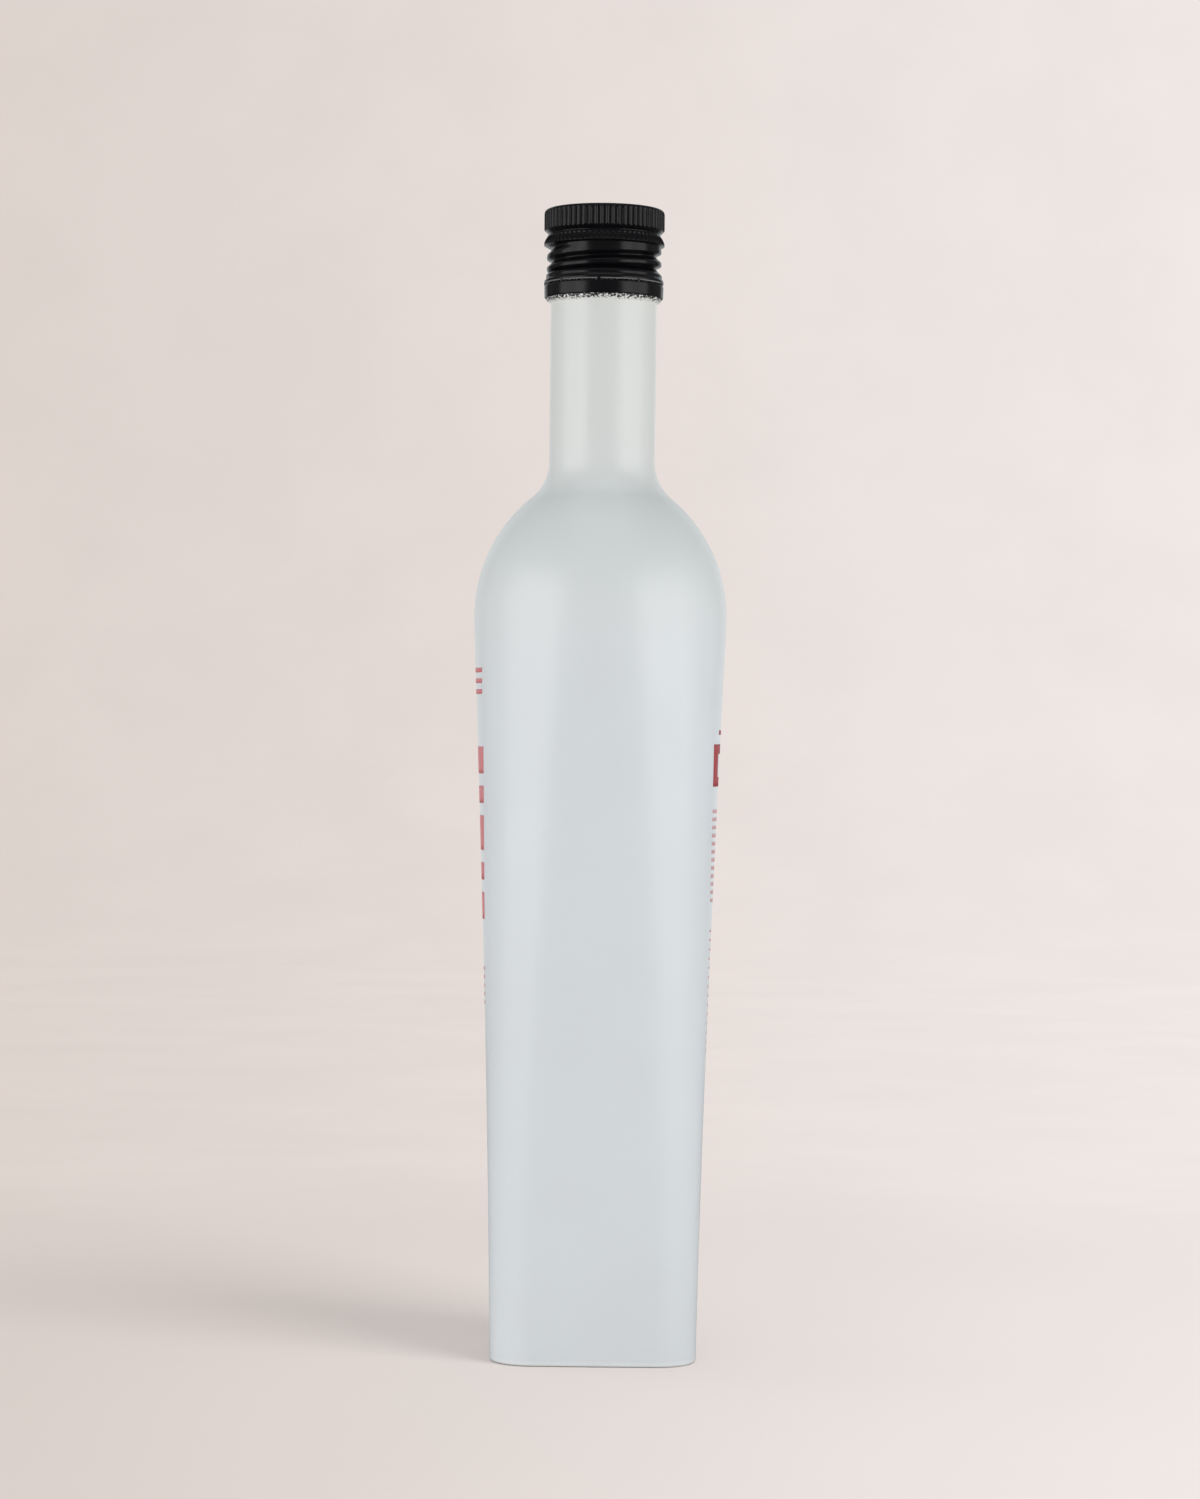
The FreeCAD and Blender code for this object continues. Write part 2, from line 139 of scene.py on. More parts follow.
def put_mesh(name, points, faces, material, smooth=True):
    """Mesh object at the origin, from points in millimetres and faces given as indices."""
    mesh = bpy.data.meshes.new(name)
    mesh.from_pydata(points * MM, [], faces)
    mesh.polygons.foreach_set("use_smooth", np.full(len(mesh.polygons), smooth))
    mesh.materials.append(material)
    mesh.update()
    piece = bpy.data.objects.new(name, mesh)
    bpy.context.collection.objects.link(piece)
    return piece


def turned_surface(radius, height, closed_ring=False):
    """Points and faces of a surface round the axis, one row of radii and heights for each level.

    Column j lies in the direction 2 pi j / columns.  Either the first and last rows shrink to a
    pole on the axis, or the rows close to a ring.  Rows that run up the outside face outwards.
    """
    rows, columns = radius.shape
    direction = np.arange(columns) * 2 * math.pi / columns
    points = np.stack([radius * np.cos(direction), radius * np.sin(direction), height], axis=-1)
    index = np.arange(rows * columns).reshape(rows, columns)
    if closed_ring:
        index = np.concatenate([index, index[:1]])
    beside = np.roll(index, -1, axis=1)
    quads = np.stack([index[:-1], beside[:-1], beside[1:], index[1:]], axis=-1).reshape(-1, 4)
    points = points.reshape(-1, 3)
    faces = quads.tolist()
    if not closed_ring:
        poles = np.array([[0, 0, height[0].mean()], [0, 0, height[-1].mean()]])
        first, last = len(points), len(points) + 1
        points = np.concatenate([points, poles])
        below = np.stack([beside[0], index[0], np.full(columns, first)], axis=-1)
        above = np.stack([index[-1], beside[-1], np.full(columns, last)], axis=-1)
        faces += below.tolist() + above.tolist()
    return points, faces


def bottle_rows():
    """Radius and height of each row of the bottle, from the middle of the dish up to the lip."""
    direction = np.arange(COLUMNS_ROUND_BOTTLE) * 2 * math.pi / COLUMNS_ROUND_BOTTLE
    ring = np.ones(COLUMNS_ROUND_BOTTLE)
    rows = []

    dish_curve = (DISH_RADIUS ** 2 + DISH_DEPTH ** 2) / (2 * DISH_DEPTH)
    for radius in np.linspace(POLE_RING, DISH_RADIUS, 14):
        height = math.sqrt(dish_curve ** 2 - radius ** 2) - dish_curve + DISH_DEPTH
        rows.append((radius * ring, height))
    foot = panel_section_radius(direction, body_half_width(0.0), HEEL_ROUND)
    for share in (0.1, 0.4, 0.7, 0.95):
        rows.append((DISH_RADIUS + (foot - DISH_RADIUS) * share, 0.0))

    for turn in np.radians(np.linspace(0, 90, 9)):
        height = HEEL_ROUND * (1 - math.cos(turn))
        inset = HEEL_ROUND * (1 - math.sin(turn))
        rows.append((panel_section_radius(direction, body_half_width(height), inset), height))
    join = SHOULDER_HEIGHT - SHOULDER_ARC * math.sin(SHOULDER_LEAD)
    for height in np.linspace(HEEL_ROUND, join, 72)[1:-1]:
        rows.append((panel_section_radius(direction, body_half_width(height), 0.0), height))

    arc_middle = SHOULDER_RADIUS - SHOULDER_ARC
    gap = NECK_RADIUS + NECK_BLEND - arc_middle
    touch = math.degrees(math.acos(gap / (SHOULDER_ARC + NECK_BLEND)))
    blend_height = SHOULDER_HEIGHT + math.sqrt((SHOULDER_ARC + NECK_BLEND) ** 2 - gap ** 2)
    lead = math.degrees(SHOULDER_LEAD)
    shoulder = arc_of_profile(arc_middle, SHOULDER_HEIGHT, SHOULDER_ARC, -lead, touch, 46)
    hollow = arc_of_profile(NECK_RADIUS + NECK_BLEND, blend_height, NECK_BLEND, 180 + touch, 180, 16)
    neck = rounded_profile((
        (NECK_RADIUS, blend_height + 1.0, 0),
        (NECK_RADIUS, CAP_EDGE - 1.5, 0.3),
        (GLASS_BEAD_RADIUS, GLASS_BEAD_BOTTOM, 0.35),
        (GLASS_BEAD_RADIUS, GLASS_BEAD_TOP, 0.3),
        (FINISH_RADIUS, GLASS_BEAD_TOP + 1.5, 0.3),
        (FINISH_RADIUS, LIP_HEIGHT - LIP_CHAMFER, 0.2),
        (FINISH_RADIUS - LIP_CHAMFER, LIP_HEIGHT, 0.2),
        (POLE_RING, LIP_HEIGHT, 0),
    ), 2.5)
    for part in (shoulder, (hollow[0][1:], hollow[1][1:]), neck):
        rows += [(radius * ring, height) for radius, height in zip(*part)]
    return np.array([row[0] for row in rows]), np.array([row[1] * ring for row in rows])


def new_material(name):
    """Material with nodes: gives it, its node tree and its Principled shader."""
    material = bpy.data.materials.new(name)
    material.use_nodes = True
    return material, material.node_tree, material.node_tree.nodes["Principled BSDF"]


def add_node(tree, kind, inputs=None, **settings):
    """Node of a kind with its settings; inputs maps a socket to a number or to another socket."""
    node = tree.nodes.new(kind)
    for key, setting in settings.items():
        setattr(node, key, setting)
    for key, source in (inputs or {}).items():
        if isinstance(source, bpy.types.NodeSocket):
            tree.links.new(source, node.inputs[key])
        else:
            node.inputs[key].default_value = source
    return node


def noise(tree, scale, detail=3.0, rough=0.55):
    """Noise in Object coordinates, about 0.5, with this many lumps in a metre."""
    where = add_node(tree, "ShaderNodeTexCoord").outputs["Object"]
    settings = {"Vector": where, "Scale": scale, "Detail": detail, "Roughness": rough}
    return add_node(tree, "ShaderNodeTexNoise", settings).outputs["Fac"]


def fade(tree, value, start, end, low=0.0, high=1.0):
    """Smooth change from low to high as a value goes from start to end."""
    settings = {"Value": value, "From Min": start, "From Max": end, "To Min": low, "To Max": high}
    return add_node(tree, "ShaderNodeMapRange", settings, interpolation_type="SMOOTHSTEP").outputs[0]


def mixed(tree, share, first, second):
    """Colour between two colours."""
    node = add_node(tree, "ShaderNodeMix", data_type="RGBA")
    for socket, source in ((0, share), (6, first), (7, second)):
        if isinstance(source, bpy.types.NodeSocket):
            tree.links.new(source, node.inputs[socket])
        else:
            node.inputs[socket].default_value = source
    return node.outputs[2]


def product(tree, first, second):
    """First value times the second."""
    return add_node(tree, "ShaderNodeMath", {0: first, 1: second}, operation="MULTIPLY").outputs[0]


def height_of(tree):
    """Height over the foot, in metres."""
    where = add_node(tree, "ShaderNodeTexCoord").outputs["Object"]
    return add_node(tree, "ShaderNodeSeparateXYZ", {"Vector": where}).outputs["Z"]


def near_point(tree, spot, size):
    """One inside a small ball round a spot in millimetres, nought outside it."""
    where = add_node(tree, "ShaderNodeTexCoord").outputs["Object"]
    ends = {0: where, 1: [x * MM for x in spot]}
    apart = add_node(tree, "ShaderNodeVectorMath", ends, operation="DISTANCE")
    return fade(tree, apart.outputs["Value"], size * MM, size * 0.4 * MM)


FROST_LOW = (0.757, 0.820, 0.860, 1)
FROST_HIGH = (0.756, 0.786, 0.760, 1)
FROST_CLOUD = (0.712, 0.756, 0.784, 1)
# colour of the painted light along the heel
HEEL_PAINTED_LIGHT = (0.81, 0.87, 0.89, 1)
FLECK = (0.020, 0.020, 0.022, 1)
AMBER = (0.42, 0.22, 0.08, 1)
FLAW_STRENGTH = 0.5
# each flaw: its place, its size and its colour
FLAWS = (
    ((-1.6, -32.0, 174.0), 0.45, FLECK),
    ((19.5, -29.2, 46.0), 0.40, FLECK),
    ((24.6, -24.6, 3.0), 0.7, AMBER),
)


def fine_relief(tree, shader, lumps, strength, depth):
    """Fine uneven surface in the light only: noise with this many lumps in a metre, metres deep."""
    settings = {"Strength": strength, "Distance": depth, "Height": noise(tree, lumps)}
    bump = add_node(tree, "ShaderNodeBump", settings)
    tree.links.new(bump.outputs["Normal"], shader.inputs["Normal"])


def frosted_glass():
    """Satin frost: bluish low down and warmer on the neck, faintly clouded, with a fine grain.  The lowest
    two millimetres are painted lighter: painted light on the heel, against the shade from the floor.

    Crumbs of the cap's lacquer lie on the bead under the cap, thickest at the cap's edge.
    """
    material, tree, shader = new_material("frosted_glass")
    height = height_of(tree)
    colour = mixed(tree, fade(tree, height, 0.150, 0.270), FROST_LOW, FROST_HIGH)
    cloud = fade(tree, noise(tree, 22.0, 2.0), 0.35, 0.75, 0.0, 0.35)
    colour = mixed(tree, cloud, colour, FROST_CLOUD)
    # painted light: the heel is painted lighter in its lowest two millimetres, against the shade where it
    # meets the floor
    colour = mixed(tree, fade(tree, height, 0.0018, 0.0005), colour, HEEL_PAINTED_LIGHT)
    under_cap = fade(tree, height, (CAP_EDGE - 2.6) * MM, (CAP_EDGE - 0.4) * MM, 0.95, 0.42)
    crumb = noise(tree, 2000.0, 1.0, 0.6)
    over = add_node(tree, "ShaderNodeMath", {0: crumb, 1: under_cap}, operation="SUBTRACT").outputs[0]
    colour = mixed(tree, fade(tree, over, 0.0, 0.02), colour, FLECK)
    for spot, size, stain in FLAWS:
        stained = product(tree, near_point(tree, spot, size), FLAW_STRENGTH)
        colour = mixed(tree, stained, colour, stain)
    tree.links.new(colour, shader.inputs["Base Color"])
    tree.links.new(fade(tree, noise(tree, 60.0), 0.3, 0.7, 0.30, 0.36), shader.inputs["Roughness"])
    shader.inputs["IOR"].default_value = 1.5
    fine_relief(tree, shader, 5200.0, 0.12, 0.00004)
    return material


bottle = put_mesh("frosted_bottle", *turned_surface(*bottle_rows()), frosted_glass())
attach(bottle, "root")
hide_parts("bottle")

# ---------------------------------------------------------------------------------------------
# Prints.  Red screen ink on the -X and +X panels: bars, fine lines and an empty frame.
# Each field is a thin sheet that follows the panel and its corners, just proud of the frost.
# ---------------------------------------------------------------------------------------------

INK_THICKNESS = 0.04
INK_LIFT = 0.02
PATCH_ROW = 1.5
PATCH_COLUMN = 0.6
PRINT_REACH = 13.2
FRAME_BOTTOM = 149.0
FRAME_TOP = 160.0
FRAME_BAR = 2.5
FRAME_REACH = 13.6
FRAME_OPENING = 9.2


def on_panel(across, height, lift):
    """Points of the +X panel, lifted off it, from the distance across its middle and the height.

    Along the flat the depth is the half width; past it the corner's arc, whose radius runs out
    to the point in the direction (rest of the depth, way past the flat).
    """
    half_width = body_half_width(height)
    corner = (half_width * math.sqrt(2) - SHOULDER_RADIUS) / (math.sqrt(2) - 1)
    past = np.maximum(np.abs(across) - (half_width - corner), 0)
    rest = np.sqrt(corner ** 2 - past ** 2)
    depth = half_width - corner + rest + lift * rest / corner
    return np.stack([depth, across + np.sign(across) * lift * past / corner, height + 0 * depth], axis=-1)


def ink_patches(name, patches, side, material):
    """Print fields as one piece; each patch is (lowest, highest, left, right) on its panel."""
    points, faces = [], []
    for bottom, top, left, right in patches:
        rows = max(int((top - bottom) / PATCH_ROW), 1) + 1
        columns = max(int((right - left) / PATCH_COLUMN), 1) + 1
        height, across = np.meshgrid(
            np.linspace(bottom, top, rows), np.linspace(left, right, columns), indexing="ij")
        patch = on_panel(across, height, INK_LIFT) * (side, side, 1)
        index = np.arange(rows * columns).reshape(rows, columns) + sum(map(len, points))
        quads = np.stack([index[:-1, :-1], index[:-1, 1:], index[1:, 1:], index[1:, :-1]], axis=-1)
        points.append(patch.reshape(-1, 3))
        faces += quads.reshape(-1, 4).tolist()
    piece = put_mesh(name, np.concatenate(points), faces, material)
    sheet = piece.modifiers.new("ink", "SOLIDIFY")
    sheet.thickness = INK_THICKNESS * MM
    sheet.offset = 1.0
    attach(piece, "root")
    return piece


def screen_ink(name, colour, worn):
    """Opaque ink with a dry, slightly worn film."""
    material, tree, shader = new_material(name)
    wear = fade(tree, noise(tree, 900.0, 4.0, 0.7), 0.50, 0.75, 0.0, 0.6)
    tree.links.new(mixed(tree, wear, colour, worn), shader.inputs["Base Color"])
    shader.inputs["Roughness"].default_value = 0.45
    fine_relief(tree, shader, 3000.0, 0.2, 0.00003)
    return material


red_ink = screen_ink("red_ink", (0.43, 0.045, 0.055, 1), (0.52, 0.14, 0.15, 1))
rose_ink = screen_ink("rose_ink", (0.70, 0.22, 0.24, 1), (0.72, 0.38, 0.39, 1))
pale_ink = screen_ink("pale_ink", (0.72, 0.42, 0.44, 1), (0.70, 0.55, 0.56, 1))


def stacked(bottom, heights, gap, left=-PRINT_REACH, right=PRINT_REACH):
    """Bars one over the other, with even gaps."""
    starts = bottom + np.cumsum([0] + [height + gap for height in heights[:-1]])
    return [(start, start + height, left, right) for start, height in zip(starts, heights)]


left_patches = stacked(114.0, (7.0, 4.5, 9.0, 4.5, 7.0), 3.2)
left_patches += stacked(172.5, (1.2, 1.2, 1.2), 1.6, -12.4, 12.4)
ink_patches("left_bars", left_patches, -1, rose_ink)
ink_patches("left_fine_lines", stacked(92.0, (0.8,) * 5, 1.4), -1, pale_ink)
frame_patches = [
    (FRAME_BOTTOM, FRAME_TOP, -FRAME_REACH, -FRAME_OPENING),
    (FRAME_BOTTOM, FRAME_TOP, FRAME_OPENING, FRAME_REACH),
    (FRAME_BOTTOM, FRAME_BOTTOM + FRAME_BAR, -FRAME_OPENING, FRAME_OPENING),
    (FRAME_TOP - FRAME_BAR, FRAME_TOP, -FRAME_OPENING, FRAME_OPENING),
]
frame_patches += stacked(FRAME_TOP + 2.5, (1.2,), 0.0, -9.0, 9.0)
ink_patches("right_frame", frame_patches, 1, red_ink)
ink_patches("right_lines", stacked(119.0, (0.9,) * 12, 1.2, -13.4, 13.4), 1, pale_ink)
ink_patches("right_fine_lines", stacked(80.0, (0.5,) * 14, 1.9), 1, pale_ink)

# ---------------------------------------------------------------------------------------------
# Cap.  Drawn aluminium shell in black satin lacquer, rolled onto the neck: knurled band, hollow,
# notched bead, rolled thread and lower bead.  Its sealing disc rests on the lip.
# ---------------------------------------------------------------------------------------------

KNURL_COUNT = 68
COLUMNS_ROUND_CAP = KNURL_COUNT * 10
SHEET = 0.3
CROWN_ROUND = 1.4
KNURL_RADIUS = CAP_RADIUS - 0.03
KNURL_DEPTH = 0.28
KNURL_BOTTOM = CROWN_HEIGHT - 5.4
KNURL_TOP = CROWN_HEIGHT - 1.0
KNURL_END = CROWN_HEIGHT - 0.3
STEP_EDGE = 11.5
STEP_FOOT = 11.0
STEP_DEPTH = 0.12
LINER_GAP = 0.02
HOLLOW_RADIUS = KNURL_RADIUS - 1.20
HOLLOW_HEIGHT = KNURL_BOTTOM - 1.2
FLARE_BOTTOM = HOLLOW_HEIGHT - 1.5
NOTCH_TOP = FLARE_BOTTOM + 0.6
NOTCH_BOTTOM = FLARE_BOTTOM - 1.4
NOTCH_DEPTH = 0.34
THREAD_RADIUS = CAP_RADIUS - 0.75
THREAD_DEPTH = 1.35
THREAD_PITCH = 3.3
THREAD_START = CROWN_HEIGHT - 17.2
THREAD_LEAD_IN = 0.15
THREAD_RUN_OUT = 0.2
THREAD_TURNS = 2.20
THREAD_UPPER_WIDTH = 0.85
THREAD_LOWER_WIDTH = 1.70
BEAD_TOP = THREAD_START + 0.2
BEAD_RADIUS = CAP_RADIUS - 0.15
SLIT_TOP = BEAD_TOP - 2.6
SLIT_HEIGHT = 0.36
INNER_RADIUS = CAP_RADIUS - 0.6
THREAD_BORE = THREAD_RADIUS - THREAD_DEPTH - SHEET
CUT_BEVEL = 0.24


def smooth_step(value, start, end):
    """Nought before start, one after end, with a smooth change between."""
    share = np.clip((value - start) / (end - start), 0, 1)
    return share * share * (3 - 2 * share)


def knurl_wave(direction):
    """One in the wide grooves, nought along the top of each rib: one plus a cosine, cut off at one."""
    return np.minimum(1 + np.cos(KNURL_COUNT * direction), 1)


def knurled_radius(direction, height):
    """Radius that the knurling roll leaves on the upper band, and no limit under the band.

    The grooves run out at the crown.
    """
    grooves = KNURL_DEPTH * (1 - smooth_step(height, KNURL_TOP, KNURL_END))
    knurled = KNURL_RADIUS - knurl_wave(direction) * grooves
    return np.where(height > HOLLOW_HEIGHT, knurled, np.inf)


def notch_relief(direction, height):
    """Depth of the short grooves of the same pitch across the flare under the hollow."""
    length = smooth_step(height, NOTCH_BOTTOM + 0.05, NOTCH_BOTTOM + 0.5)
    length *= 1 - smooth_step(height, NOTCH_TOP - 0.2, NOTCH_TOP + 0.5)
    return knurl_wave(direction) * length * NOTCH_DEPTH


def thread_relief(direction, height):
    """Depth of the rolled thread: a valley that climbs one pitch a turn.

    Turned counts the turns from -X.  The valley deepens over the lead-in before -X and fades over
    the run-out.  Across it the depth is a raised cosine, steep above and slower below.
    """
    relief = np.zeros_like(height)
    way_round = (direction / (2 * math.pi) - 0.5 + THREAD_LEAD_IN) % 1.0
    for turn in range(math.ceil(THREAD_TURNS)):
        turned = way_round + (turn - THREAD_LEAD_IN)
        above = height - THREAD_START - THREAD_PITCH * turned
        width = np.where(above > 0, THREAD_UPPER_WIDTH, THREAD_LOWER_WIDTH)
        ends = smooth_step(turned, -THREAD_LEAD_IN, 0.0)
        ends *= 1 - smooth_step(turned, THREAD_TURNS - THREAD_RUN_OUT, THREAD_TURNS)
        across = 0.5 + 0.5 * np.cos(math.pi * np.clip(np.abs(above) / width, 0, 1))
        relief = np.maximum(relief, ends * across)
    return relief * THREAD_DEPTH


def cap_rows():
    """Radius and height of each row of the shell: inside first, then up the outside to the crown."""
    lower = rounded_profile((
        (POLE_RING, LIP_HEIGHT + LINER_GAP, 0),
        (THREAD_BORE, LIP_HEIGHT + LINER_GAP, 0.2),
        (THREAD_BORE, BEAD_TOP + 1.6, 0.4),
        (INNER_RADIUS, BEAD_TOP - 0.3, 0.3),
        (INNER_RADIUS, SLIT_TOP, 0),
    ), 3.0)
    upper = rounded_profile((
        (BEAD_RADIUS - CUT_BEVEL, SLIT_TOP, 0),
        (BEAD_RADIUS, SLIT_TOP + CUT_BEVEL, 0.03),
        (BEAD_RADIUS, SLIT_TOP + 0.8, 0.3),
        (THREAD_RADIUS - 0.6, BEAD_TOP, 0.5),
        (THREAD_RADIUS, BEAD_TOP + 1.0, 0.4),
        (THREAD_RADIUS - 0.1, NOTCH_BOTTOM - 0.25, 0.2),
        (CAP_RADIUS - 0.02, NOTCH_BOTTOM, 0.1),
        (CAP_RADIUS, NOTCH_BOTTOM + 0.5, 0.3),
        (CAP_RADIUS - 0.3, FLARE_BOTTOM, 0.4),
        (HOLLOW_RADIUS, HOLLOW_HEIGHT, 0.3),
        (KNURL_RADIUS, KNURL_BOTTOM, 0.2),
        (KNURL_RADIUS, CROWN_HEIGHT, CROWN_ROUND),
        (STEP_EDGE + 1.0, CROWN_HEIGHT, 0.3),
    ), 0.24)
    crown = rounded_profile((
        (STEP_EDGE + 0.5, CROWN_HEIGHT, 0),
        (STEP_EDGE, CROWN_HEIGHT, 0.3),
        (STEP_FOOT, CROWN_HEIGHT - STEP_DEPTH, 0.3),
        (POLE_RING, CROWN_HEIGHT - STEP_DEPTH, 0),
    ), 1.5)
    parts = (lower, upper, crown)
    radius, height = (np.concatenate([part[k] for part in parts]) for k in (0, 1))
    direction = np.arange(COLUMNS_ROUND_CAP) * 2 * math.pi / COLUMNS_ROUND_CAP
    radius = np.repeat(radius[:, None], COLUMNS_ROUND_CAP, axis=1)
    height = np.repeat(height[:, None], COLUMNS_ROUND_CAP, axis=1)
    outside = np.arange(len(radius))[:, None] >= lower.shape[1]
    relief = thread_relief(direction, height) + notch_relief(direction, height)
    formed = np.minimum(radius - relief, knurled_radius(direction, height))
    return np.where(outside, formed, radius), height


def black_lacquer():
    """Black satin lacquer with a faint orange peel."""
    material, tree, shader = new_material("black_lacquer")
    colour = mixed(tree, noise(tree, 300.0), (0.002, 0.002, 0.003, 1), (0.005, 0.005, 0.006, 1))
    tree.links.new(colour, shader.inputs["Base Color"])
    tree.links.new(fade(tree, noise(tree, 700.0), 0.3, 0.7, 0.20, 0.25), shader.inputs["Roughness"])
    shader.inputs["IOR"].default_value = 1.5
    shader.inputs["Specular IOR Level"].default_value = 0.19
    fine_relief(tree, shader, 1800.0, 0.12, 0.00003)
    return material


def bare_aluminium():
    """Cut edge of the sheet, with fine marks of the knife."""
    material, tree, shader = new_material("bare_aluminium")
    colour = mixed(tree, noise(tree, 2500.0), (0.19, 0.19, 0.20, 1), (0.27, 0.27, 0.28, 1))
    tree.links.new(colour, shader.inputs["Base Color"])
    shader.inputs["Metallic"].default_value = 0.3
    shader.inputs["Roughness"].default_value = 0.6
    return material


lacquer, aluminium = black_lacquer(), bare_aluminium()
cap = put_mesh("cap_shell", *turned_surface(*cap_rows()), lacquer)
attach(cap, "root")
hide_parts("cap")

# ---------------------------------------------------------------------------------------------
# Tamper band.  The same sheet under the slits, round the glass bead.  Nine bridges still join
# it to the cap, and the sheet's cut edge over the slits is bare metal.
# ---------------------------------------------------------------------------------------------

BAND_RADIUS = CAP_RADIUS - 0.25
BAND_TOP = SLIT_TOP - SLIT_HEIGHT
BAND_BOTTOM = CAP_EDGE - 0.15
BRIDGE_COUNT = 9
BRIDGE_WIDTH = 0.8
BRIDGE_COLUMNS = 5
FIRST_BRIDGE = math.radians(-134.75)


def band_rows():
    """Closed profile of the band, carried round the axis: down the inside, then up the outside."""
    profile = rounded_profile((
        (INNER_RADIUS, BAND_TOP - 0.05, 0),
        (INNER_RADIUS, BAND_BOTTOM + 0.1, 0.1),
        (INNER_RADIUS + 0.1, BAND_BOTTOM, 0.05),
        (BAND_RADIUS - 0.18, BAND_BOTTOM, 0.06),
        (BAND_RADIUS, BAND_BOTTOM + 0.2, 0.1),
        (BAND_RADIUS + 0.08, BAND_TOP - 0.35, 0.25),
        (BAND_RADIUS - 0.02, BAND_TOP, 0.05),
        (INNER_RADIUS + 0.05, BAND_TOP, 0),
    ), 0.4)
    return tuple(np.repeat(part[:, None], COLUMNS_ROUND_CAP // 2, axis=1) for part in profile)


def bridge_boxes():
    """Small curved blocks across the slit, one for each bridge."""
    points, faces = [], []
    bottom, top = BAND_TOP - 0.1, SLIT_TOP + 0.3
    half = BRIDGE_WIDTH / 2 / BAND_RADIUS
    turns = np.linspace(-half, half, BRIDGE_COLUMNS)
    for k in range(BRIDGE_COUNT):
        direction = FIRST_BRIDGE + k * 2 * math.pi / BRIDGE_COUNT + turns
        inner, outer = INNER_RADIUS + 0.02, BEAD_RADIUS + 0.04
        profile = np.array([(inner, top), (inner, bottom), (outer, bottom), (outer, top)])
        radius = np.repeat(profile[:, :1], BRIDGE_COLUMNS, axis=1)
        height = np.repeat(profile[:, 1:], BRIDGE_COLUMNS, axis=1)
        block = np.stack([radius * np.cos(direction), radius * np.sin(direction), height], axis=-1)
        index = np.arange(height.size).reshape(height.shape) + height.size * k
        ring = np.concatenate([index, index[:1]])
        quads = np.stack([ring[:-1, :-1], ring[:-1, 1:], ring[1:, 1:], ring[1:, :-1]], axis=-1)
        points.append(block.reshape(-1, 3))
        faces += quads.reshape(-1, 4).tolist() + [index[::-1, 0].tolist(), index[:, -1].tolist()]
    return np.concatenate(points), faces


def cut_edge_rows():
    """Closed ring of bare metal just proud of the bevel along the upper lip of the slits."""
    profile = np.array([
        (BEAD_RADIUS - CUT_BEVEL - 0.05, SLIT_TOP + 0.05),
        (BEAD_RADIUS - CUT_BEVEL, SLIT_TOP - 0.02),
        (BEAD_RADIUS + 0.015, SLIT_TOP + CUT_BEVEL - 0.01),
        (BEAD_RADIUS - 0.03, SLIT_TOP + CUT_BEVEL + 0.05)])
    return tuple(np.repeat(part[:, None], COLUMNS_ROUND_CAP // 2, axis=1) for part in profile.T)


band = put_mesh("tamper_band", *turned_surface(*band_rows(), closed_ring=True), lacquer)
bridges = put_mesh("tamper_bridges", *bridge_boxes(), lacquer, smooth=False)
cut_edge = put_mesh("cut_edge", *turned_surface(*cut_edge_rows(), closed_ring=True), aluminium, smooth=False)
for piece in (band, bridges, cut_edge):
    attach(piece, "root")

# ---------------------------------------------------------------------------------------------
# Studio.  A pale warm paper sweep.  The object is lit by a wide and a narrow upright softbox on
# each side, a panel behind and a panel above.  Two lamps reach the paper only: one throws the soft
# shadow to the left, and one lights the floor.
# ---------------------------------------------------------------------------------------------

# painted light: the paper is painted darker to the left and lighter to the right, a painted fall-off of the
# light
PAPER_PAINTED_SHADE_LEFT = (0.716, 0.638, 0.597, 1)
PAPER_PAINTED_LIGHT_RIGHT = (0.879, 0.815, 0.791, 1)
FALLOFF_FAN_POINT = 1.0
FALLOFF_FAN_LEAST = 0.3
FALLOFF_FAN_HALF = 0.235
SHADED_NEAR = 0.15
SHADED_FAR = 0.45
SHADED_GLOW = 0.20
REFLECTED_GLOW = 0.10
SKY = (0.96, 0.99, 1.0, 1)
SKY_STRENGTH = 0.24


def paper_sweep():
    """Floor and backdrop as one sheet: a level run, a quarter circle and an upright run."""
    front, depth, bend, wall, half_width = -2.2, 1.6, 0.6, 2.4, 2.6
    turn = np.linspace(0, math.pi / 2, 16)
    level = np.linspace(front, depth, 20)[:-1]
    along = np.concatenate([level, depth + bend * np.sin(turn), [depth + bend]])
    up = np.concatenate([np.zeros(len(level)), bend * (1 - np.cos(turn)), [wall]])
    across = np.linspace(-half_width, half_width, 9)
    points = np.stack([
        np.repeat(across[:, None], len(along), axis=1),
        np.repeat(along[None], len(across), axis=0),
        np.repeat(up[None], len(across), axis=0)], axis=-1)
    index = np.arange(points.shape[0] * points.shape[1]).reshape(points.shape[:2])
    quads = np.stack([index[:-1, :-1], index[1:, :-1], index[1:, 1:], index[:-1, 1:]], axis=-1)
    return points.reshape(-1, 3) / MM, quads.reshape(-1, 4).tolist()


